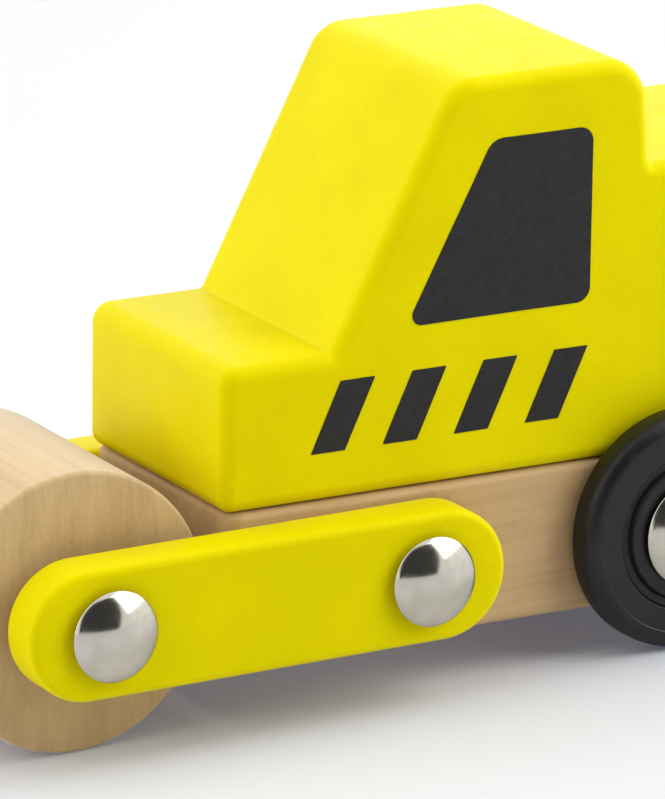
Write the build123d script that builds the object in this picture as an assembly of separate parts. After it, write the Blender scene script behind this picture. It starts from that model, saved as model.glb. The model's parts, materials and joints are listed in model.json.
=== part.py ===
from build123d import *
import math
import os

# Toy road roller in wood, with a pair of swinging arms that carry the drum.
# Every piece is drawn in the body's own frame: X forward, Y to the left, Z up, with the
# origin on the arms' pivot axis, midway between the two sides. The finished toy then leans
# back a little onto its drum and wheels, and its frame is moved to the middle of its
# footprint, on the ground.

# ------------------------------------------------------------------ driving dimensions, mm
body_width = 34.0          # chassis and cab block, side to side
rear_x = -62.0             # flat back of chassis and rear deck

chassis_front_x = 23.2
chassis_bottom = -9.5
seam = 9.0                 # where the cab block sits on the chassis
chassis_corner = 2.2       # upright corners
chassis_edge = 1.0         # edges round the top and bottom faces

hood_front_x = 24.05       # the hood overhangs the chassis a little
hood_top = 26.8
hood_back_x = 9.2          # where hood and windshield meet
roof_top = 57.8
roof_front_x = -6.7
cab_back_x = -33.6         # foot of the cab's back, which leans forward a little
roof_back_x = -32.8
deck_top = 44.7
cab_round = 1.8            # along the outline of both sides of the cab block
bottom_corner = 1.9        # its bottom edges at the front and the rear

rod_radius = 2.0           # all three steel rods
running_gap = 0.06         # radial gap where a piece turns on a rod, or a rod in a hole

arm_pitch = 42.2           # pivot hole to drum hole
arm_overhang = 2.4         # each hole lies this far inside its end's arc centre
arm_width = 16.0
arm_thickness = 6.6
arm_gap = 0.35             # between chassis side and arm
arm_edge = 1.0
arm_angle = -0.6           # arm against the body's long axis, degrees, nose down

drum_radius = 17.0
drum_width = 30.4
drum_edge = 0.6

wheel_radius = 14.8
wheel_x = -37.5
wheel_boss_gap = 0.15      # between chassis side and the wheel's inner boss
wheel_boss_radius = 5.0
wheel_boss_height = 0.75
wheel_thickness = 4.1      # between the two flat faces
wheel_shoulder = 2.0       # outer rounding of the tread
wheel_heel = 0.8           # inner rounding of the tread
groove_outer = 9.9
groove_inner = 8.4
groove_depth = 0.8
groove_slope = 0.35        # how far each groove wall leans outward

cap_radius = 5.5           # caps on pivot rod and drum axle
cap_neck_radius = 4.6      # each cap's domed head overhangs a neck
cap_neck = 0.75
cap_skirt = 1.15           # up to the rim of the head
cap_rise = 1.8
wheel_cap_radius = 6.8
wheel_cap_neck_radius = 5.9
wheel_cap_neck = 0.3
wheel_cap_skirt = 0.7
wheel_cap_rise = 2.2
cap_gap = 0.1              # between a cap and the piece it keeps on
cap_bore_depth = 2.0       # how far a rod reaches into its cap

print_thickness = 0.08     # painted windows and stripes
window_bottom = 28.9
window_top = 50.4
window_back_x = -25.3
window_front_x = -0.1      # at the bottom edge
window_slope = 0.53        # how far the front edge leans back per unit of height
stripe_bottom = 15.0
stripe_top = 23.6
stripe_front_x = 12.5      # foremost stripe, at its bottom edge
stripe_width = 4.7
stripe_pitch = 9.67
stripe_slope = 0.46
stripe_count = 4

# ------------------------------------------------------------------ worked out from those
side = body_width / 2
arm_inner = side + arm_gap
arm_outer = arm_inner + arm_thickness
wheel_inner = side + wheel_boss_gap
wheel_outer = wheel_inner + wheel_boss_height + wheel_thickness
hole_radius = rod_radius + running_gap

drum_x = arm_pitch * math.cos(math.radians(arm_angle))
drum_z = arm_pitch * math.sin(math.radians(arm_angle))

# The toy stands on drum and wheels, so its lean follows from the two axles and radii.
axle_span = math.hypot(drum_x - wheel_x, drum_z)
span_slope = math.degrees(math.atan2(drum_z, drum_x - wheel_x))
nose_up = math.degrees(math.asin((drum_radius - wheel_radius) / axle_span)) - span_slope

LEFT, RIGHT = 1, -1


def across(x, z, y, hand):
    """Place a turned piece, drawn along +Z, with its axis across the toy and pointing out."""
    return Pos(x, hand * y, z) * Rot(-90 * hand, 0, 0)


def block(points, width):
    """Extrude a side outline, given as (x, z) points, across the toy."""
    outline = Polyline(*[(x, 0, z) for x, z in points], close=True)
    return extrude(make_face(outline), amount=width / 2, dir=(0, 1, 0), both=True)


def round_corner(solid, x, z, radius):
    """Round the crosswise edge of a block that passes through (x, z)."""
    edge = solid.edges().filter_by(Axis.Y).sort_by_distance(Vector(x, 0, z))[0]
    return fillet(edge, radius)


def cab_block():
    corners = [
        (hood_front_x, seam, bottom_corner),
        (hood_front_x, hood_top, 2.5),
        (hood_back_x, hood_top, 0.8),
        (roof_front_x, roof_top, 5.0),
        (roof_back_x, roof_top, 5.5),
        (cab_back_x, deck_top, 0.8),
        (rear_x, deck_top, 3.0),
        (rear_x, seam, bottom_corner),
    ]
    solid = block([(x, z) for x, z, _ in corners], body_width)
    for x, z, radius in corners:
        solid = round_corner(solid, x, z, radius)
    return fillet(solid.faces().filter_by(Axis.Y).edges(), cab_round)


def chassis_block():
    length = chassis_front_x - rear_x
    solid = Box(length, body_width, seam - chassis_bottom)
    solid = Pos((chassis_front_x + rear_x) / 2, 0, (seam + chassis_bottom) / 2) * solid
    solid = fillet(solid.edges().filter_by(Axis.Z), chassis_corner)
    rims = solid.faces().filter_by(Axis.Z).edges()
    solid = fillet(rims, chassis_edge)
    pivot_hole = Rot(90, 0, 0) * Cylinder(rod_radius, body_width)
    axle_hole = Pos(wheel_x, 0, 0) * Rot(90, 0, 0) * Cylinder(hole_radius, body_width)
    return solid - pivot_hole - axle_hole


def arm(hand):
    flat = SlotCenterToCenter(arm_pitch + 2 * arm_overhang, arm_width)
    solid = extrude(flat, amount=arm_thickness)
    solid = fillet(solid.faces().filter_by(Axis.Z).edges(), arm_edge)
    solid -= Pos(-arm_pitch / 2, 0, arm_thickness / 2) * Cylinder(hole_radius, arm_thickness)
    solid -= Pos(arm_pitch / 2, 0, arm_thickness / 2) * Cylinder(rod_radius, arm_thickness)
    # Drawn flat with the drum end towards +X, then stood up against its side of the body.
    upright = Pos(arm_pitch / 2, 0, 0) * Rot(90, 0, 0)
    start = arm_outer if hand == LEFT else -arm_inner
    return Rot(0, -arm_angle, 0) * Pos(0, start, 0) * upright * solid


def drum():
    solid = Cylinder(drum_radius, drum_width)
    solid = fillet(solid.edges(), drum_edge)
    solid -= Cylinder(hole_radius, drum_width)
    return Pos(drum_x, 0, drum_z) * Rot(90, 0, 0) * solid


def turned(profile):
    """Turn a closed (radius, height) outline about Z. A third value bends the line that
    ends at its point into an arc through that (radius, height)."""
    lines = []
    for start, end in zip(profile, profile[1:] + profile[:1]):
        ends = [(p[0], 0, p[1]) for p in (start, end)]
        if len(end) == 3:
            middle = (end[2][0], 0, end[2][1])
            lines.append(ThreePointArc(ends[0], middle, ends[1]))
        else:
            lines.append(Line(*ends))
    return revolve(make_face(Wire(lines)), Axis.Z)


def cap(radius, neck_radius, neck, skirt, rise):
    """Domed cap on a narrower neck, with a blind hole for its rod. Its open end is at Z = 0."""
    sphere = (radius ** 2 + rise ** 2) / (2 * rise)
    half_angle = math.asin(radius / sphere) / 2
    crown = skirt + rise - sphere
    bend = (sphere * math.sin(half_angle), crown + sphere * math.cos(half_angle))
    return turned([
        (rod_radius, 0),
        (neck_radius, 0),
        (neck_radius, neck),
        (radius, neck),
        (radius, skirt),
        (0, skirt + rise, bend),
        (0, cap_bore_depth),
        (rod_radius, cap_bore_depth),
    ])


def quarter(radius, height, bend_radius, outward):
    """Middle point of the quarter round between a face at a height and a tread."""
    reach = bend_radius * math.sqrt(0.5)
    return (radius - bend_radius + reach, height - outward * (bend_radius - reach))


def wheel():
    """Wheel with its inner boss at Z = 0 and its outer face up."""
    back = wheel_boss_height
    face = wheel_boss_height + wheel_thickness
    floor = face - groove_depth
    return turned([
        (hole_radius, 0),
        (wheel_boss_radius, 0),
        (wheel_boss_radius, back),
        (wheel_radius - wheel_heel, back),
        (wheel_radius, back + wheel_heel, quarter(wheel_radius, back, wheel_heel, -1)),
        (wheel_radius, face - wheel_shoulder),
        (wheel_radius - wheel_shoulder, face, quarter(wheel_radius, face, wheel_shoulder, 1)),
        (groove_outer, face),
        (groove_outer - groove_slope, floor),
        (groove_inner + groove_slope, floor),
        (groove_inner, face),
        (hole_radius, face),
    ])


def rod(x, z, cap_seat):
    """Rod across the toy that ends inside the caps, whose open ends are at cap_seat."""
    length = 2 * (cap_seat + cap_bore_depth)
    return Pos(x, 0, z) * Rot(90, 0, 0) * Cylinder(rod_radius, length)


def on_side(film, hand):
    """Lay a painted film, drawn about the middle of the toy, on one side of the cab block."""
    return Pos(0, hand * (side + print_thickness / 2), 0) * film


def window_print():
    lean = window_slope * (window_top - window_bottom)
    corners = [
        (window_front_x, window_bottom, 1.3),
        (window_front_x - lean, window_top, 2.6),
        (window_back_x, window_top, 1.9),
        (window_back_x, window_bottom, 1.9),
    ]
    film = block([(x, z) for x, z, _ in corners], print_thickness)
    for x, z, radius in corners:
        film = round_corner(film, x, z, radius)
    return film


def stripe_print(number):
    lean = stripe_slope * (stripe_top - stripe_bottom)
    front = stripe_front_x - number * stripe_pitch
    back = front - stripe_width
    outline = [
        (front, stripe_bottom),
        (front - lean, stripe_top),
        (back - lean, stripe_top),
        (back, stripe_bottom),
    ]
    return block(outline, print_thickness)


arm_cap_seat = arm_outer + cap_gap
wheel_cap_seat = wheel_outer + cap_gap
arm_cap = cap(cap_radius, cap_neck_radius, cap_neck, cap_skirt, cap_rise)
wheel_cap = cap(
    wheel_cap_radius, wheel_cap_neck_radius, wheel_cap_neck, wheel_cap_skirt, wheel_cap_rise)
plain_wheel = wheel()

parts = {
    "chassis": chassis_block(),
    "cab_body": cab_block(),
    "drum": drum(),
    "pivot_rod": rod(0, 0, arm_cap_seat),
    "drum_axle": rod(drum_x, drum_z, arm_cap_seat),
    "rear_axle": rod(wheel_x, 0, wheel_cap_seat),
}
for name, hand in (("left", LEFT), ("right", RIGHT)):
    parts[f"arm_{name}"] = arm(hand)
    parts[f"pivot_cap_{name}"] = across(0, 0, arm_cap_seat, hand) * arm_cap
    parts[f"drum_cap_{name}"] = across(drum_x, drum_z, arm_cap_seat, hand) * arm_cap
    parts[f"wheel_{name}"] = across(wheel_x, 0, wheel_inner, hand) * plain_wheel
    parts[f"wheel_cap_{name}"] = across(wheel_x, 0, wheel_cap_seat, hand) * wheel_cap
    parts[f"window_print_{name}"] = on_side(window_print(), hand)
    for number in range(stripe_count):
        parts[f"stripe_print_{name}_{number + 1}"] = on_side(stripe_print(number), hand)

# Lean the toy back onto its wheels, then put the frame at the bottom centre of its box.
parts = {node: Rot(0, -nose_up, 0) * piece for node, piece in parts.items()}
reach_box = Compound(children=[Compound(piece.solids()) for piece in parts.values()]).bounding_box()
to_frame = Pos(-reach_box.center().X, 0, -reach_box.min.Z)

os.makedirs("parts", exist_ok=True)
for node, piece in parts.items():
    export_step(to_frame * piece, f"parts/{node}.step")
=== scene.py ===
import json
import math

import bmesh
import bpy
from mathutils import Matrix, Vector, noise


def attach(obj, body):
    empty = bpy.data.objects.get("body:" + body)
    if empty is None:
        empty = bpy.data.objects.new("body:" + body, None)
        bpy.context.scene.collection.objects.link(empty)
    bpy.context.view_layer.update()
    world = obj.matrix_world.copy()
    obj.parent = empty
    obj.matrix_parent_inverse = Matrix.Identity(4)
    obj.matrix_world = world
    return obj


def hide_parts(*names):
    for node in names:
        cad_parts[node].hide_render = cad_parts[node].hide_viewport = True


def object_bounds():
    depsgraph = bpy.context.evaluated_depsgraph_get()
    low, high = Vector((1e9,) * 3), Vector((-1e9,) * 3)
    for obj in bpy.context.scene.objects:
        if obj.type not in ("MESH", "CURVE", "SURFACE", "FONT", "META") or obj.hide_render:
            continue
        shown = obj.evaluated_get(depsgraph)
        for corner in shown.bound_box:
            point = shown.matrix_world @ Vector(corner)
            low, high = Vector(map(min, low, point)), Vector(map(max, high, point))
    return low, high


# Toy road roller. Shapes are drawn in millimetres in the frame of the body they belong to and
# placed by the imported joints; texture sizes in the materials are in metres.
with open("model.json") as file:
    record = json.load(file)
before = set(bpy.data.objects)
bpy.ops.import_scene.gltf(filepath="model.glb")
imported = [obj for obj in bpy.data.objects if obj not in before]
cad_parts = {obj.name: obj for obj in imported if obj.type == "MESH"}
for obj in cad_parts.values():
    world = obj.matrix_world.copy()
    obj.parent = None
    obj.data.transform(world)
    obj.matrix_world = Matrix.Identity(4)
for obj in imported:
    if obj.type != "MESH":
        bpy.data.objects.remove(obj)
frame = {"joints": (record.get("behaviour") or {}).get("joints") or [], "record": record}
cad_box = [list(corner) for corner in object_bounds()]

MM = 0.001
LEFT, RIGHT = 1, -1
HANDS = (("left", LEFT), ("right", RIGHT))

# ------------------------------------------------------------------ dimensions, mm
SIDE = 17.0                # half the width of chassis and cab block
SEAM, CHASSIS_BOTTOM = 9.0, -9.5
CAB_CORNERS = [            # side outline of the cab block: x, z, corner radius
    (24.05, SEAM, 1.9),
    (24.05, 26.8, 2.5),
    (9.2, 26.8, 0.8),
    (-6.7, 57.8, 5.0),
    (-32.8, 57.8, 5.5),
    (-33.6, 44.7, 0.8),
    (-62.0, 44.7, 3.0),
    (-62.0, SEAM, 1.9),
]
CAB_ROUND = 1.8            # round-over along the outline of both its sides

CHASSIS_FRONT, CHASSIS_REAR = 23.2, -62.0
CHASSIS_CORNER, CHASSIS_EDGE = 2.2, 1.0

ROD_RADIUS = 2.0
RUNNING_GAP = 0.06
HOLE_RADIUS = ROD_RADIUS + RUNNING_GAP
PRESSED_RADIUS = ROD_RADIUS + 0.01         # hole that holds its rod
ROD_CHAMFER, ROD_END_GAP = 0.35, 0.05

ARM_INNER, ARM_OUTER = 17.35, 23.95
ARM_WIDTH, ARM_OVERHANG, ARM_EDGE = 16.0, 2.4, 1.0

DRUM_RADIUS, DRUM_WIDTH, DRUM_EDGE, DRUM_BORE_EDGE = 17.0, 30.4, 0.6, 0.15

WHEEL_RADIUS, WHEEL_BACK, WHEEL_FACE = 14.8, 0.75, 4.85
WHEEL_SHOULDER, WHEEL_HEEL, WHEEL_BOSS = 2.0, 0.8, 5.0
WHEEL_INNER = SIDE + 0.15
GROOVE_OUTER, GROOVE_INNER, GROOVE_DEPTH, GROOVE_SLOPE = 9.9, 8.4, 0.8, 0.35
GROOVE_ROUND = 0.22
WHEEL_LIP = 0.12           # the flat ring lies this far below the shoulder's crest

CAP_GAP, CAP_BORE = 0.1, 2.0
ARM_CAP = (5.5, 4.6, 0.75, 1.15, 1.8)      # radius, neck radius and height, rim, rise
WHEEL_CAP = (6.8, 5.9, 0.3, 0.7, 2.2)
CAP_LIP = 0.18

PRINT_LOW, PRINT_HIGH, PRINT_EDGE = 0.005, 0.08, 0.02
PRINT_SPACING = 0.35       # between points along a print's edge, so that it can be ragged
WINDOW_CORNERS = [
    (-0.1, 28.9, 1.3),
    (-11.495, 50.4, 2.6),
    (-25.3, 50.4, 1.9),
    (-25.3, 28.9, 1.9),
]
STRIPE_BOTTOM, STRIPE_TOP, STRIPE_FRONT = 15.0, 23.6, 12.5
STRIPE_WIDTH, STRIPE_PITCH, STRIPE_SLOPE, STRIPE_ROUND = 4.7, 9.67, 0.46, 0.12
STRIPE_COUNT = 4

# Depth of the unevenness that sanding leaves, and how far apart its waves are.
CAB_UNEVEN, CHASSIS_UNEVEN, ARM_UNEVEN, PRINT_UNEVEN = 0.06, 0.05, 0.03, 0.1
WAVE = 7.0

# Mesh building: welding distance, and where the ring that backs a rounded rim lies.
WELD = 1e-4
BACKING_RING = 1.01
HOLE_SIDES = 40

# ------------------------------------------------------------------ frames from the joints
joints = {joint["name"]: joint for joint in frame["joints"]}


def joint_at(name):
    return Vector(joints[name]["pos_m"])


roof_axis = frame["record"]["mounts"][0]["axis"]
pivot = joint_at("arm_pivot")
drum_centre = joint_at("drum_spin")
axle_centre = joint_at("rear_axle_spin")
reach = drum_centre - pivot
ARM_PITCH = reach.length / MM

body_frame = Matrix.Translation(pivot) @ Matrix.Rotation(
    -math.atan2(-roof_axis[0], roof_axis[2]), 4, "Y")
arm_frame = Matrix.Translation(pivot) @ Matrix.Rotation(-math.atan2(reach.z, reach.x), 4, "Y")


def axle_frame(centre, offset, hand):
    """Frame with +Z pointing out across the toy, offset in mm from its middle."""
    start = Matrix.Translation(centre + Vector((0, hand * offset * MM, 0)))
    return start @ Matrix.Rotation(math.radians(-90 * hand), 4, "X")


# ------------------------------------------------------------------ mesh building
def arc(centre, radius, start, end, steps):
    """Points, directions and edge weights along an arc."""
    for k in range(steps + 1):
        angle = start + (end - start) * k / steps
        way = Vector((math.cos(angle), math.sin(angle)))
        yield centre + radius * way, way, math.sin(math.pi * k / steps)


def corner_arc(last, here, following, radius):
    """Centre, first angle and sweep of the arc that rounds a corner."""
    before = (last - here).normalized()
    after = (following - here).normalized()
    half = before.angle(after) / 2
    centre = here + (before + after).normalized() * radius / math.sin(half)
    start = here + before * radius / math.tan(half) - centre
    end = here + after * radius / math.tan(half) - centre
    first = math.atan2(start.y, start.x)
    sweep = (math.atan2(end.y, end.x) - first + math.pi) % math.tau - math.pi
    return centre, first, sweep


def rounded(corners, steps=12, spacing=3.0):
    """Closed outline through rounded corners: (point, outward normal, edge weight)."""
    count = len(corners)
    spots = [Vector(c[:2]) for c in corners]
    area = sum(spots[i - 1].cross(spots[i]) for i in range(count))
    turn = 1 if area > 0 else -1
    outline = []
    for i, (_, _, radius) in enumerate(corners):
        here = spots[i]
        following = corners[(i + 1) % count]
        there = spots[(i + 1) % count]
        centre, first, sweep = corner_arc(spots[i - 1], here, there, radius)
        convex = 1 if sweep * turn > 0 else -1
        for point, way, weight in arc(centre, radius, first, first + sweep, steps):
            outline.append((point, way * convex, weight if convex > 0 else 0.0))
        outline.extend(straight_run(here, radius, there, following[2], spots[i - 1],
                                    spots[(i + 2) % count], turn, spacing))
    return outline


def outward(way, turn):
    """Normal of a straight run of an outline that turns one way or the other."""
    return Vector((way.y, -way.x)).normalized() * turn


def straight_run(here, radius, there, next_radius, before, beyond, turn, spacing):
    """Points between one corner's arc and the next, so that no face is very long."""
    way = (there - here).normalized()
    start = here + way * radius / math.tan((before - here).angle(way) / 2)
    stop = there - way * next_radius / math.tan((-way).angle(beyond - there) / 2)
    parts = int((stop - start).length / spacing)
    normal = outward(way, turn)
    return [(start.lerp(stop, k / parts), normal, 0.0) for k in range(1, parts)]


def bank(low, high, rim, steps=8):
    """Rows across a slab with rounded rims: (position, inset, edge weight)."""
    angles = [math.pi / 2 * k / steps for k in range(steps + 1)]
    rise = [(rim * (1 - math.cos(a)), rim * (1 - math.sin(a)), math.sin(2 * a)) for a in angles]
    rows = [(low, rim * BACKING_RING, 0.0)] + [(low + up, inset, edge) for up, inset, edge in rise]
    rows += [(high - up, inset, edge) for up, inset, edge in reversed(rise)]
    return rows + [(high, rim * BACKING_RING, 0.0)]


def finish_mesh(bm, name, weights, matrix, sharp=50, settled=False):
    """Turn a bmesh in mm into an object placed by its frame. A settled one keeps the toy's
    own coordinates."""
    layer = bm.verts.layers.float.new("edge")
    for vert, weight in weights.items():
        if vert.is_valid:
            vert[layer] = weight
    bmesh.ops.remove_doubles(bm, verts=bm.verts, dist=WELD)
    bmesh.ops.recalc_face_normals(bm, faces=bm.faces)
    bmesh.ops.scale(bm, vec=(MM, MM, MM), verts=bm.verts)
    mesh = bpy.data.meshes.new(name)
    bm.to_mesh(mesh)
    bm.free()
    mesh.shade_smooth()
    mesh.set_sharp_from_angle(angle=math.radians(sharp))
    piece = bpy.data.objects.new(name, mesh)
    bpy.context.scene.collection.objects.link(piece)
    if settled:
        mesh.transform(matrix)
    else:
        piece.matrix_world = matrix
    return piece


def wobble(point, amount, seed):
    """A small inward unevenness, in mm, as hand sanding leaves it."""
    value = noise.noise(Vector(point) / WAVE + Vector((seed, 3.1 * seed, 7.7)))
    return amount * (0.5 + 0.5 * value)


def slab(name, outline, low, high, rim, matrix, uneven, seed, holes=(), steps=8,
         across="Y"):
    """A block with a closed outline, rounded rims and round holes through it."""
    bm = bmesh.new()
    weights = {}

    def place(flat, depth):
        if across == "Y":
            return Vector((flat.x, depth, flat.y))
        return Vector((flat.x, flat.y, depth))

    def vertex(flat, depth, weight=0.0):
        vert = bm.verts.new(place(flat, depth))
        weights[vert] = weight
        return vert

    def strip(one, two):
        for i in range(len(one)):
            bm.faces.new((one[i - 1], one[i], two[i], two[i - 1]))

    rows = []
    for depth, inset, edge in bank(low, high, rim, steps):
        row = []
        for point, normal, weight in outline:
            dent = wobble(place(point, depth), uneven, seed)
            row.append(vertex(point - normal * (inset + dent), depth, max(edge, weight)))
        rows.append(row)
    for one, two in zip(rows, rows[1:]):
        strip(one, two)
    rings = {0: [], -1: []}
    for x, z, radius in holes:
        walls = []
        for end, depth in ((0, low), (-1, high)):
            ring = [vertex(Vector((x + radius * math.cos(a), z + radius * math.sin(a))), depth)
                    for a in (math.tau * k / HOLE_SIDES for k in range(HOLE_SIDES))]
            rings[end].append(ring)
            walls.append(ring)
        strip(*walls)
    for end in (0, -1):
        if not rings[end]:
            bm.faces.new(rows[end])
            continue
        edges = []
        for loop in [rows[end]] + rings[end]:
            edges += [bm.edges.get((loop[i - 1], loop[i])) for i in range(len(loop))]
        bmesh.ops.triangle_fill(bm, edges=edges, use_beauty=True)
    return finish_mesh(bm, name, weights, matrix, settled=True)


def turned(name, profile, matrix, segments=128, sharp=50):
    """Turn a closed (radius, height, edge weight) profile about the frame's Z axis."""
    bm = bmesh.new()
    weights = {}
    columns = []
    for k in range(segments):
        turn = math.tau * k / segments
        column = []
        for radius, height, weight in profile:
            vert = bm.verts.new((radius * math.cos(turn), radius * math.sin(turn), height))
            weights[vert] = weight
            column.append(vert)
        columns.append(column)
    for k in range(segments):
        one, two = columns[k - 1], columns[k]
        for i in range(len(profile)):
            bm.faces.new((one[i - 1], one[i], two[i], two[i - 1]))
    bmesh.ops.remove_doubles(bm, verts=bm.verts, dist=WELD)
    bmesh.ops.dissolve_degenerate(bm, edges=bm.edges, dist=WELD)
    return finish_mesh(bm, name, weights, matrix, sharp)


def soft_profile(corners, steps=6):
    """Profile through (radius, height, bend radius) corners, as turned() takes it."""
    count = len(corners)
    profile = []
    for i, (radius, height, bend) in enumerate(corners):
        here = Vector((radius, height))
        if bend == 0:
            profile.append((radius, height, 0.0))
            continue
        last, following = (Vector(corners[k % count][:2]) for k in (i - 1, i + 1))
        centre, first, sweep = corner_arc(last, here, following, bend)
        for point, _, weight in arc(centre, bend, first, first + sweep, steps):
            profile.append((point.x, point.y, weight))
    return profile


def dome_profile(radius, neck_radius, neck, rim, rise, steps=26):
    """Domed head with a rolled lip on a narrower neck, and a blind hole for its rod."""
    sphere = (radius ** 2 + rise ** 2) / (2 * rise)
    crown = rim + rise - sphere
    widest = math.asin((radius - CAP_LIP * 0.5) / sphere)
    profile = [(ROD_RADIUS, 0.0, 0.0), (neck_radius, 0.0, 0.0), (neck_radius, neck, 0.0)]
    centre = Vector((radius - CAP_LIP, neck + CAP_LIP))
    top = math.pi / 2 - widest
    profile += [(p.x, p.y, w) for p, _, w in arc(centre, CAP_LIP, -math.pi / 2, top, 8)]
    for k in range(1, steps + 1):
        angle = widest * (1 - k / steps)
        profile.append((sphere * math.sin(angle), crown + sphere * math.cos(angle), 0.0))
    return profile + [(0.0, CAP_BORE, 0.0), (ROD_RADIUS, CAP_BORE, 0.0)]


# ------------------------------------------------------------------ material building
class Shader:
    """A node material, built by name."""

    def __init__(self, name):
        self.material = bpy.data.materials.new(name)
        self.material.use_nodes = True
        self.tree = self.material.node_tree
        self.bsdf = self.tree.nodes["Principled BSDF"]
        self.coords = self.tree.nodes.new("ShaderNodeTexCoord").outputs["Object"]

    def put(self, socket, value):
        if isinstance(value, bpy.types.NodeSocket):
            self.tree.links.new(value, socket)
        elif value is not None:
            socket.default_value = value

    def stretch(self, scale, source=None):
        node = self.tree.nodes.new("ShaderNodeMapping")
        self.put(node.inputs["Vector"], source or self.coords)
        node.inputs["Scale"].default_value = scale
        return node.outputs["Vector"]

    def noise(self, scale, detail=3.0, rough=0.55, vector=None, distortion=0.0):
        node = self.tree.nodes.new("ShaderNodeTexNoise")
        self.put(node.inputs["Vector"], vector or self.coords)
        node.inputs["Scale"].default_value = scale
        node.inputs["Detail"].default_value = detail
        node.inputs["Roughness"].default_value = rough
        node.inputs["Distortion"].default_value = distortion
        return node.outputs["Fac"]

    def ramp(self, value, low, high, out_low=0.0, out_high=1.0):
        node = self.tree.nodes.new("ShaderNodeMapRange")
        node.interpolation_type = "SMOOTHSTEP"
        self.put(node.inputs["Value"], value)
        node.inputs["From Min"].default_value = low
        node.inputs["From Max"].default_value = high
        node.inputs["To Min"].default_value = out_low
        node.inputs["To Max"].default_value = out_high
        return node.outputs["Result"]

    def math(self, kind, one, two=0.0):
        node = self.tree.nodes.new("ShaderNodeMath")
        node.operation = kind
        self.put(node.inputs[0], one)
        self.put(node.inputs[1], two)
        return node.outputs[0]

    def mix(self, factor, one, two, kind="MIX"):
        node = self.tree.nodes.new("ShaderNodeMix")
        node.data_type = "RGBA"
        node.blend_type = kind
        self.put(node.inputs["Factor"], factor)
        self.put(node.inputs[6], one)
        self.put(node.inputs[7], two)
        return node.outputs[2]

    def edge(self):
        node = self.tree.nodes.new("ShaderNodeAttribute")
        node.attribute_name = "edge"
        return node.outputs["Fac"]

    def bump(self, height, strength, depth, normal=None):
        node = self.tree.nodes.new("ShaderNodeBump")
        self.put(node.inputs["Height"], height)
        node.inputs["Strength"].default_value = strength
        node.inputs["Distance"].default_value = depth
        if normal is not None:
            self.put(node.inputs["Normal"], normal)
        return node.outputs["Normal"]

    def finish(self, **values):
        for socket, value in values.items():
            self.put(self.bsdf.inputs[socket.replace("_", " ")], value)
        return self.material


def rgb(red, green, blue):
    return (red, green, blue, 1.0)


def yellow_paint():
    """Satin paint over wood: faint grain under it, fine orange peel, a few small marks, and
    lighter paint along the edges, worn thin and also a painted highlight.
    """
    s = Shader("yellow_paint")
    cloud = s.noise(70, 2.0)
    colour = s.mix(s.ramp(cloud, 0.3, 0.7), rgb(0.74, 0.635, 0.0006), rgb(0.80, 0.69, 0.0008))
    speckle = s.noise(1900, 3.0, 0.7)
    colour = s.mix(s.ramp(speckle, 0.35, 0.75, 0.0, 0.35), colour, rgb(0.70, 0.60, 0.0008))
    fibre = s.noise(1.0, 3.0, 0.6, s.stretch((60, 900, 900)))
    colour = s.mix(s.ramp(fibre, 0.50, 0.72, 0.0, 0.08), colour, rgb(0.66, 0.555, 0.0008))
    edge = s.edge()
    # Lighter paint along the rounded edges, broken up by noise: paint worn thin there, and a
    # painted highlight on the edges.
    rub_and_highlight = s.math("MULTIPLY", edge, s.ramp(s.noise(240, 3.0), 0.38, 0.62, 0.15, 1.0))
    colour = s.mix(s.math("MULTIPLY", rub_and_highlight, 0.35), colour, rgb(0.86, 0.76, 0.004))
    scuff = s.math("MULTIPLY", s.ramp(edge, 0.2, 0.9), s.ramp(s.noise(330, 2.0), 0.66, 0.74))
    colour = s.mix(s.math("MULTIPLY", scuff, 0.5), colour, rgb(0.30, 0.25, 0.01))
    speck = s.ramp(s.noise(700, 1.0), 0.81, 0.84, 0.0, 0.30)
    colour = s.mix(speck, colour, rgb(0.42, 0.34, 0.01))
    rough = s.ramp(s.noise(500, 3.0), 0.3, 0.7, 0.32, 0.41)
    grain = s.bump(fibre, 0.06, 0.00008)
    peel = s.bump(s.noise(1500, 2.0), 0.14, 0.00005, grain)
    return s.finish(Base_Color=colour, Roughness=rough, Normal=peel, IOR=1.15,
                    Specular_Tint=rgb(1.0, 0.86, 0.02))


def bare_wood(name, fibre_scale, ray_scale, ring_scale, dark, light, sheen):
    """Sanded beech: soft growth bands, fine fibres and short darker flecks."""
    s = Shader(name)
    band = s.noise(1.0, 2.0, 0.5, s.stretch(ring_scale), 0.6)
    colour = s.mix(s.ramp(band, 0.3, 0.7), dark, light)
    fibre = s.noise(1.0, 4.0, 0.65, s.stretch(fibre_scale))
    colour = s.mix(s.ramp(fibre, 0.42, 0.72, 0.0, 0.30), colour,
                   tuple(0.70 * c for c in dark[:3]) + (1.0,))
    ray = s.noise(1.0, 2.0, 0.6, s.stretch(ray_scale))
    colour = s.mix(s.ramp(ray, 0.60, 0.74, 0.0, 0.24), colour,
                   tuple(0.5 * c for c in dark[:3]) + (1.0,))
    pore = s.noise(2600, 2.0, 0.6)
    colour = s.mix(s.ramp(pore, 0.58, 0.75, 0.0, 0.28), colour,
                   tuple(0.55 * c for c in dark[:3]) + (1.0,))
    # Lighter along the rounded edges: a painted highlight.
    colour = s.mix(s.math("MULTIPLY", s.edge(), 0.5), colour,
                   tuple(min(1.0, 1.25 * c) for c in light[:3]) + (1.0,))
    rough = s.ramp(fibre, 0.3, 0.7, 0.50, 0.66)
    relief = s.bump(fibre, 0.35, 0.00012)
    relief = s.bump(pore, 0.25, 0.00006, relief)
    return s.finish(Base_Color=colour, Roughness=rough, Normal=relief, IOR=1.45,
                    Sheen_Weight=sheen, Sheen_Roughness=0.45)


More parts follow.
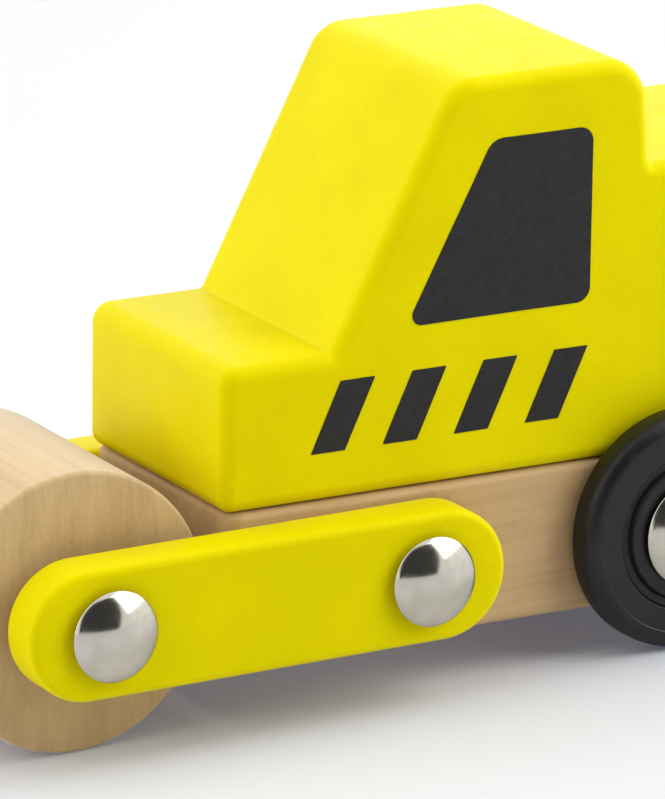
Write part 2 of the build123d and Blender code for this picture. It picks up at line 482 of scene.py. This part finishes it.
def black_wheel():
    """Satin black with faint turning rings about the axle, fine dust and a painted highlight along
    its edges.
    """
    s = Shader("black_wheel")
    split = s.tree.nodes.new("ShaderNodeSeparateXYZ")
    s.put(split.inputs[0], s.coords)
    across = s.math("MULTIPLY", split.outputs[0], split.outputs[0])
    upward = s.math("MULTIPLY", split.outputs[1], split.outputs[1])
    radius = s.math("SQRT", s.math("ADD", across, upward))
    rings = s.tree.nodes.new("ShaderNodeCombineXYZ")
    s.put(rings.inputs[0], radius)
    turning = s.noise(5200, 2.0, 0.7, rings.outputs[0])
    cloud = s.noise(260, 3.0)
    colour = s.mix(s.ramp(cloud, 0.3, 0.7), rgb(0.006, 0.006, 0.0065), rgb(0.0105, 0.010, 0.0105))
    dust = s.ramp(s.noise(1700, 2.0, 0.6), 0.66, 0.78, 0.0, 0.5)
    colour = s.mix(dust, colour, rgb(0.035, 0.034, 0.034))
    # Lighter along the rounded edges: a painted highlight.
    colour = s.mix(s.math("MULTIPLY", s.edge(), 0.35), colour, rgb(0.03, 0.03, 0.03))
    rough = s.ramp(s.noise(700, 3.0), 0.3, 0.7, 0.33, 0.46)
    relief = s.bump(turning, 0.18, 0.00005)
    relief = s.bump(s.noise(1500, 3.0), 0.12, 0.00005, relief)
    return s.finish(Base_Color=colour, Roughness=rough, Normal=relief, IOR=1.38)


def black_print():
    """Screen-printed ink: matt, slightly mottled, with the paint's texture under it."""
    s = Shader("black_print")
    cloud = s.noise(420, 3.0, 0.6)
    colour = s.mix(s.ramp(cloud, 0.3, 0.7), rgb(0.0078, 0.0072, 0.0066),
                   rgb(0.0100, 0.0092, 0.0084))
    speck = s.ramp(s.noise(2600, 2.0), 0.68, 0.78, 0.0, 0.5)
    colour = s.mix(speck, colour, rgb(0.035, 0.033, 0.03))
    rough = s.ramp(s.noise(900, 3.0), 0.3, 0.7, 0.52, 0.68)
    relief = s.bump(s.noise(1700, 3.0), 0.25, 0.00006)
    return s.finish(Base_Color=colour, Roughness=rough, Normal=relief, IOR=1.4)


def polished_cap():
    """Stamped nickel-plated steel: near mirror, with faint haze, waviness and hairlines."""
    s = Shader("polished_cap")
    haze = s.noise(420, 3.0)
    colour = s.mix(s.ramp(haze, 0.3, 0.7), rgb(0.49, 0.46, 0.395), rgb(0.56, 0.525, 0.45))
    hair = s.noise(1.0, 2.0, 0.7, s.stretch((9000, 500, 2500)))
    rough = s.math("ADD", s.ramp(haze, 0.3, 0.7, 0.10, 0.16), s.ramp(hair, 0.62, 0.75, 0.0, 0.12))
    relief = s.bump(s.noise(260, 1.0), 0.20, 0.00006)
    relief = s.bump(hair, 0.05, 0.00002, relief)
    return s.finish(Base_Color=colour, Roughness=rough, Normal=relief, Metallic=1.0)


def drawn_steel():
    """Rod with lengthwise drawing lines."""
    s = Shader("drawn_steel")
    line = s.noise(1.0, 3.0, 0.6, s.stretch((3000, 3000, 60)))
    colour = s.mix(s.ramp(line, 0.3, 0.7), rgb(0.40, 0.395, 0.385), rgb(0.56, 0.555, 0.54))
    rough = s.ramp(line, 0.3, 0.7, 0.26, 0.42)
    return s.finish(Base_Color=colour, Roughness=rough, Normal=s.bump(line, 0.2, 0.00003),
                    Metallic=1.0)


paint = yellow_paint()
beech = bare_wood("beech_block", (30, 700, 900), (260, 1600, 160), (25, 160, 190),
                  rgb(0.55, 0.36, 0.165), rgb(0.65, 0.44, 0.215), 0.15)
beech_drum = bare_wood("beech_drum", (1300, 170, 18), (2400, 620, 60), (190, 60, 18),
                       rgb(0.54, 0.355, 0.150), rgb(0.62, 0.42, 0.190), 0.70)
rubber = black_wheel()
ink = black_print()
nickel = polished_cap()
steel = drawn_steel()


def settle(piece, body, slot, material, *nodes):
    """Give a finished piece its material and body, and hide the CAD nodes that it stands for. The
    slot argument is not used.
    """
    piece.data.materials.append(material)
    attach(piece, body)
    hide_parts(*nodes)
    return piece


def bore(piece, centre, radius):
    """Drill a hole across the toy through a piece."""
    reach = 2 * SIDE
    cutter = turned("drill", [(0.0, -reach, 0.0), (radius, -reach, 0.0), (radius, reach, 0.0),
                              (0.0, reach, 0.0)], axle_frame(centre, 0, LEFT), 48)
    cut = piece.modifiers.new("bore", "BOOLEAN")
    cut.operation, cut.solver, cut.object = "DIFFERENCE", "EXACT", cutter
    bored = bpy.data.meshes.new_from_object(
        piece.evaluated_get(bpy.context.evaluated_depsgraph_get()))
    piece.modifiers.clear()
    old, piece.data = piece.data, bored
    bored.name = piece.name
    bored.set_sharp_from_angle(angle=math.radians(50))
    bpy.data.meshes.remove(old)
    bpy.data.meshes.remove(cutter.data)


# ------------------------------------------------------------------ body
settle(slab("cab_block", rounded(CAB_CORNERS, 14), -SIDE, SIDE, CAB_ROUND, body_frame,
            CAB_UNEVEN, 2.0, steps=10),
       "body", "yellow_paint", paint, "cab_body")

chassis_corners = [(CHASSIS_FRONT, -SIDE), (CHASSIS_FRONT, SIDE),
                   (CHASSIS_REAR, SIDE), (CHASSIS_REAR, -SIDE)]
chassis = slab("chassis_block", rounded([(x, y, CHASSIS_CORNER) for x, y in chassis_corners], 10),
               CHASSIS_BOTTOM, SEAM, CHASSIS_EDGE, body_frame, CHASSIS_UNEVEN, 5.0, across="Z")
bore(chassis, pivot, PRESSED_RADIUS)
bore(chassis, axle_centre, HOLE_RADIUS)
settle(chassis, "body", "bare_wood", beech, "chassis")


def film(name, outline, hand, node):
    """A printed film on one side of the cab block."""
    low, high = sorted(hand * (SIDE + y) for y in (PRINT_LOW, PRINT_HIGH))
    piece = slab(name, outline, low, high, PRINT_EDGE, body_frame, PRINT_UNEVEN, 9.0, steps=2)
    return settle(piece, "body", "black_print", ink, node)


for side_name, hand in HANDS:
    film(f"window_{side_name}", rounded(WINDOW_CORNERS, 10, PRINT_SPACING), hand,
         f"window_print_{side_name}")
    for number in range(STRIPE_COUNT):
        front = STRIPE_FRONT - number * STRIPE_PITCH
        back = front - STRIPE_WIDTH
        lean = STRIPE_SLOPE * (STRIPE_TOP - STRIPE_BOTTOM)
        corners = [(front, STRIPE_BOTTOM), (front - lean, STRIPE_TOP),
                   (back - lean, STRIPE_TOP), (back, STRIPE_BOTTOM)]
        outline = rounded([(x, z, STRIPE_ROUND) for x, z in corners], 4, PRINT_SPACING)
        film(f"stripe_{side_name}_{number + 1}", outline, hand,
             f"stripe_print_{side_name}_{number + 1}")


def rod(name, centre, seat, body, node):
    """Steel rod with chamfered ends, reaching into the caps on both sides."""
    half = seat + CAP_BORE - ROD_END_GAP
    profile = soft_profile([(ROD_RADIUS, -half, ROD_CHAMFER), (ROD_RADIUS, half, ROD_CHAMFER),
                            (0.0, half, 0), (0.0, -half, 0)], 3)
    piece = turned(name, profile, axle_frame(centre, 0, LEFT), 48)
    return settle(piece, body, "steel_rod", steel, node)


def cap(name, size, centre, seat, hand, body, node):
    """Domed cap over one end of a rod."""
    piece = turned(name, dome_profile(*size), axle_frame(centre, seat, hand), 96, 40)
    return settle(piece, body, "polished_caps", nickel, node)


arm_seat = ARM_OUTER + CAP_GAP
wheel_seat = WHEEL_INNER + WHEEL_FACE + CAP_GAP
rod("pivot_pin", pivot, arm_seat, "body", "pivot_rod")
rod("drum_pin", drum_centre, arm_seat, "roller_frame", "drum_axle")
rod("rear_pin", axle_centre, wheel_seat, "rear_axle", "rear_axle")

# ------------------------------------------------------------------ arms, wheels and caps
end_radius = ARM_WIDTH / 2
arm_rear = -ARM_OVERHANG - end_radius
arm_tip = ARM_PITCH + ARM_OVERHANG + end_radius
arm_round = end_radius - 0.001             # a hair less, so that an end's two arcs never touch
arm_corners = [
    (arm_rear, -end_radius, arm_round),
    (arm_rear, end_radius, arm_round),
    (arm_tip, end_radius, arm_round),
    (arm_tip, -end_radius, arm_round),
]
wheel_profile = soft_profile([
    (HOLE_RADIUS, 0.0, 0.1),
    (WHEEL_BOSS, 0.0, 0.2),
    (WHEEL_BOSS, WHEEL_BACK, 0.1),
    (WHEEL_RADIUS, WHEEL_BACK, WHEEL_HEEL),
    (WHEEL_RADIUS, WHEEL_FACE, WHEEL_SHOULDER - 0.05),
    (WHEEL_RADIUS - WHEEL_SHOULDER - WHEEL_LIP, WHEEL_FACE, 0.06),
    (WHEEL_RADIUS - WHEEL_SHOULDER - 2 * WHEEL_LIP, WHEEL_FACE - WHEEL_LIP, 0.12),
    (GROOVE_OUTER, WHEEL_FACE - WHEEL_LIP, GROOVE_ROUND),
    (GROOVE_OUTER - GROOVE_SLOPE, WHEEL_FACE - GROOVE_DEPTH, 0.18),
    (GROOVE_INNER + GROOVE_SLOPE, WHEEL_FACE - GROOVE_DEPTH, 0.18),
    (GROOVE_INNER, WHEEL_FACE, GROOVE_ROUND),
    (HOLE_RADIUS, WHEEL_FACE, 0.2),
], 8)

for side_name, hand in HANDS:
    low, high = sorted(hand * y for y in (ARM_INNER, ARM_OUTER))
    plank = slab(f"side_arm_{side_name}", rounded(arm_corners, 36), low, high, ARM_EDGE,
                 arm_frame, ARM_UNEVEN, 12.0 + hand,
                 [(0, 0, HOLE_RADIUS), (ARM_PITCH, 0, PRESSED_RADIUS)])
    settle(plank, "roller_frame", "yellow_paint", paint, f"arm_{side_name}")
    cap(f"pivot_dome_{side_name}", ARM_CAP, pivot, arm_seat, hand, "body",
        f"pivot_cap_{side_name}")
    cap(f"drum_dome_{side_name}", ARM_CAP, drum_centre, arm_seat, hand, "roller_frame",
        f"drum_cap_{side_name}")
    tyre = turned(f"road_wheel_{side_name}", wheel_profile,
                  axle_frame(axle_centre, WHEEL_INNER, hand), 160, 60)
    settle(tyre, f"{side_name}_wheel", "black_wheel", rubber, f"wheel_{side_name}")
    cap(f"wheel_dome_{side_name}", WHEEL_CAP, axle_centre, wheel_seat, hand, "rear_axle",
        f"wheel_cap_{side_name}")

# ------------------------------------------------------------------ drum
half_drum = DRUM_WIDTH / 2
drum_profile = soft_profile([
    (HOLE_RADIUS, -half_drum, DRUM_BORE_EDGE),
    (DRUM_RADIUS, -half_drum, DRUM_EDGE),
    (DRUM_RADIUS, half_drum, DRUM_EDGE),
    (HOLE_RADIUS, half_drum, DRUM_BORE_EDGE),
], 6)
drum_frame = Matrix.Translation(drum_centre) @ Matrix.Rotation(math.radians(-90), 4, "X")
settle(turned("drum_roller", drum_profile, drum_frame, 192), "roller", "bare_wood",
       beech_drum, "drum")

# ------------------------------------------------------------------ floor, light and camera
FLOOR_SIZE, FLOOR_CELLS = 6.0, 12
FLOOR_COLOUR, FLOOR_CLOUD = rgb(0.64, 0.642, 0.65), rgb(0.65, 0.652, 0.66)
FLOOR_LIFT = rgb(0.55, 0.66, 1.0)          # a faint cool glow that keeps its shadows neutral
FLOOR_LIFT_STRENGTH = 0.085
LIGHTS = [                 # name, azimuth, elevation, distance, width, height, watts
    ("key", 98, 46, 0.85, 0.55, 0.55, 0.5),
    ("overhead", 330, 80, 0.9, 0.7, 0.7, 0.3),
    ("front", 80, 14, 0.8, 0.4, 0.4, 1.3),
    ("side", 243, 38, 0.9, 1.0, 0.75, 5.5),
]
BACKDROP_GLOW, ROOM_GLOW = 1.27, 1.2
BACKDROP_EDGE = (-0.25, 0.35)              # cosines between which one turns into the other
BACKDROP_TURN = 14.0                       # from the view's azimuth
BACKDROP_SEEN = (0.93, 0.93, 0.93, 1)      # what the camera itself sees of it
GAP_AZIMUTH, GAP_ELEVATION, GAP_RADIUS, GAP_BLUR, GAP_GLOW = 165.0, 22.0, 40.0, 3.0, 0.05

VIEW_AZIMUTH, VIEW_ELEVATION, VIEW_ROLL = 150.908, 17.415, 0.979
VIEW_DISTANCE = 0.9451
VIEW_AIM = Vector((0.431, 1.858, 16.310)) * MM      # from the arms' pivot
VIEW_LENS, VIEW_SENSOR = 430.5, 36.0

middle = (Vector(cad_box[0]) + Vector(cad_box[1])) / 2


def toward(azimuth, elevation):
    """Unit vector from the toy. Azimuth 0 is its right side, 90 its front, 180 its left."""
    a, e = math.radians(azimuth), math.radians(elevation)
    return Vector((math.sin(a) * math.cos(e), -math.cos(a) * math.cos(e), math.sin(e)))


def floor():
    bm = bmesh.new()
    bmesh.ops.create_grid(bm, x_segments=FLOOR_CELLS, y_segments=FLOOR_CELLS, size=FLOOR_SIZE / 2)
    mesh = bpy.data.meshes.new("studio_floor")
    bm.to_mesh(mesh)
    bm.free()
    s = Shader("studio_floor")
    tone = s.noise(9, 2.0)
    colour = s.mix(s.ramp(tone, 0.3, 0.7), FLOOR_COLOUR, FLOOR_CLOUD)
    mesh.materials.append(s.finish(Base_Color=colour, Roughness=0.7, Emission_Color=FLOOR_LIFT,
                                   Emission_Strength=FLOOR_LIFT_STRENGTH,
                                   Normal=s.bump(s.noise(900, 2.0), 0.03, 0.0001)))
    sweep = bpy.data.objects.new("studio_floor", mesh)
    bpy.context.scene.collection.objects.link(sweep)


def soft_light(name, azimuth, elevation, distance, width, height, watts):
    lamp = bpy.data.lights.new(name, "AREA")
    lamp.shape = "RECTANGLE"
    lamp.size, lamp.size_y = width, height
    lamp.energy = watts
    light = bpy.data.objects.new(name, lamp)
    bpy.context.scene.collection.objects.link(light)
    way = toward(azimuth, elevation)
    light.location = middle + way * distance
    light.rotation_euler = way.to_track_quat("Z", "Y").to_euler()
    light.visible_camera = False


def studio_world():
    """White to the camera. For everything else a bright backdrop behind the toy, a plain room
    on the camera's side, and the dark gap beside the camera that the domes mirror."""
    world = bpy.data.worlds.new("studio")
    bpy.context.scene.world = world
    world.use_nodes = True
    tree = world.node_tree
    tree.nodes.clear()
    coords = tree.nodes.new("ShaderNodeTexCoord")

    def glow_towards(direction, low, high, out_low, out_high):
        facing = tree.nodes.new("ShaderNodeVectorMath")
        facing.operation = "DOT_PRODUCT"
        tree.links.new(coords.outputs["Generated"], facing.inputs[0])
        facing.inputs[1].default_value = direction
        ramp = tree.nodes.new("ShaderNodeMapRange")
        ramp.interpolation_type = "SMOOTHSTEP"
        tree.links.new(facing.outputs["Value"], ramp.inputs["Value"])
        for name, value in (("From Min", low), ("From Max", high),
                            ("To Min", out_low), ("To Max", out_high)):
            ramp.inputs[name].default_value = value
        return ramp.outputs["Result"]

    glow = glow_towards(toward(VIEW_AZIMUTH - BACKDROP_TURN, 0), *BACKDROP_EDGE,
                        BACKDROP_GLOW, ROOM_GLOW)
    outer, inner = (math.cos(math.radians(GAP_RADIUS + blur)) for blur in (GAP_BLUR, -GAP_BLUR))
    gap = glow_towards(toward(GAP_AZIMUTH, GAP_ELEVATION), outer, inner, 1.0, GAP_GLOW)
    both = tree.nodes.new("ShaderNodeMath")
    both.operation = "MULTIPLY"
    tree.links.new(glow, both.inputs[0])
    tree.links.new(gap, both.inputs[1])
    room = tree.nodes.new("ShaderNodeBackground")
    room.inputs["Color"].default_value = (1, 1, 1, 1)
    tree.links.new(both.outputs[0], room.inputs["Strength"])
    backdrop = tree.nodes.new("ShaderNodeBackground")
    backdrop.inputs["Color"].default_value = BACKDROP_SEEN
    path = tree.nodes.new("ShaderNodeLightPath")
    choose = tree.nodes.new("ShaderNodeMixShader")
    tree.links.new(path.outputs["Is Camera Ray"], choose.inputs[0])
    tree.links.new(room.outputs[0], choose.inputs[1])
    tree.links.new(backdrop.outputs[0], choose.inputs[2])
    out = tree.nodes.new("ShaderNodeOutputWorld")
    tree.links.new(choose.outputs[0], out.inputs["Surface"])


def camera():
    lens = bpy.data.cameras.new("camera")
    lens.sensor_fit = "HORIZONTAL"
    lens.sensor_width = VIEW_SENSOR
    lens.lens = VIEW_LENS
    lens.clip_start, lens.clip_end = 0.01, 20.0
    eye = bpy.data.objects.new("camera", lens)
    bpy.context.scene.collection.objects.link(eye)
    back = toward(VIEW_AZIMUTH, VIEW_ELEVATION)
    level = Vector((0, 0, 1)).cross(back).normalized()
    rise = back.cross(level)
    roll = math.radians(VIEW_ROLL)
    up = rise * math.cos(roll) + level * math.sin(roll)
    right = up.cross(back)
    place = Matrix((right, up, back)).transposed().to_4x4()
    place.translation = pivot + VIEW_AIM + back * VIEW_DISTANCE
    eye.matrix_world = place
    bpy.context.scene.camera = eye


floor()
for setting in LIGHTS:
    soft_light(*setting)
studio_world()
camera()
bpy.context.scene.view_settings.view_transform = "Standard"
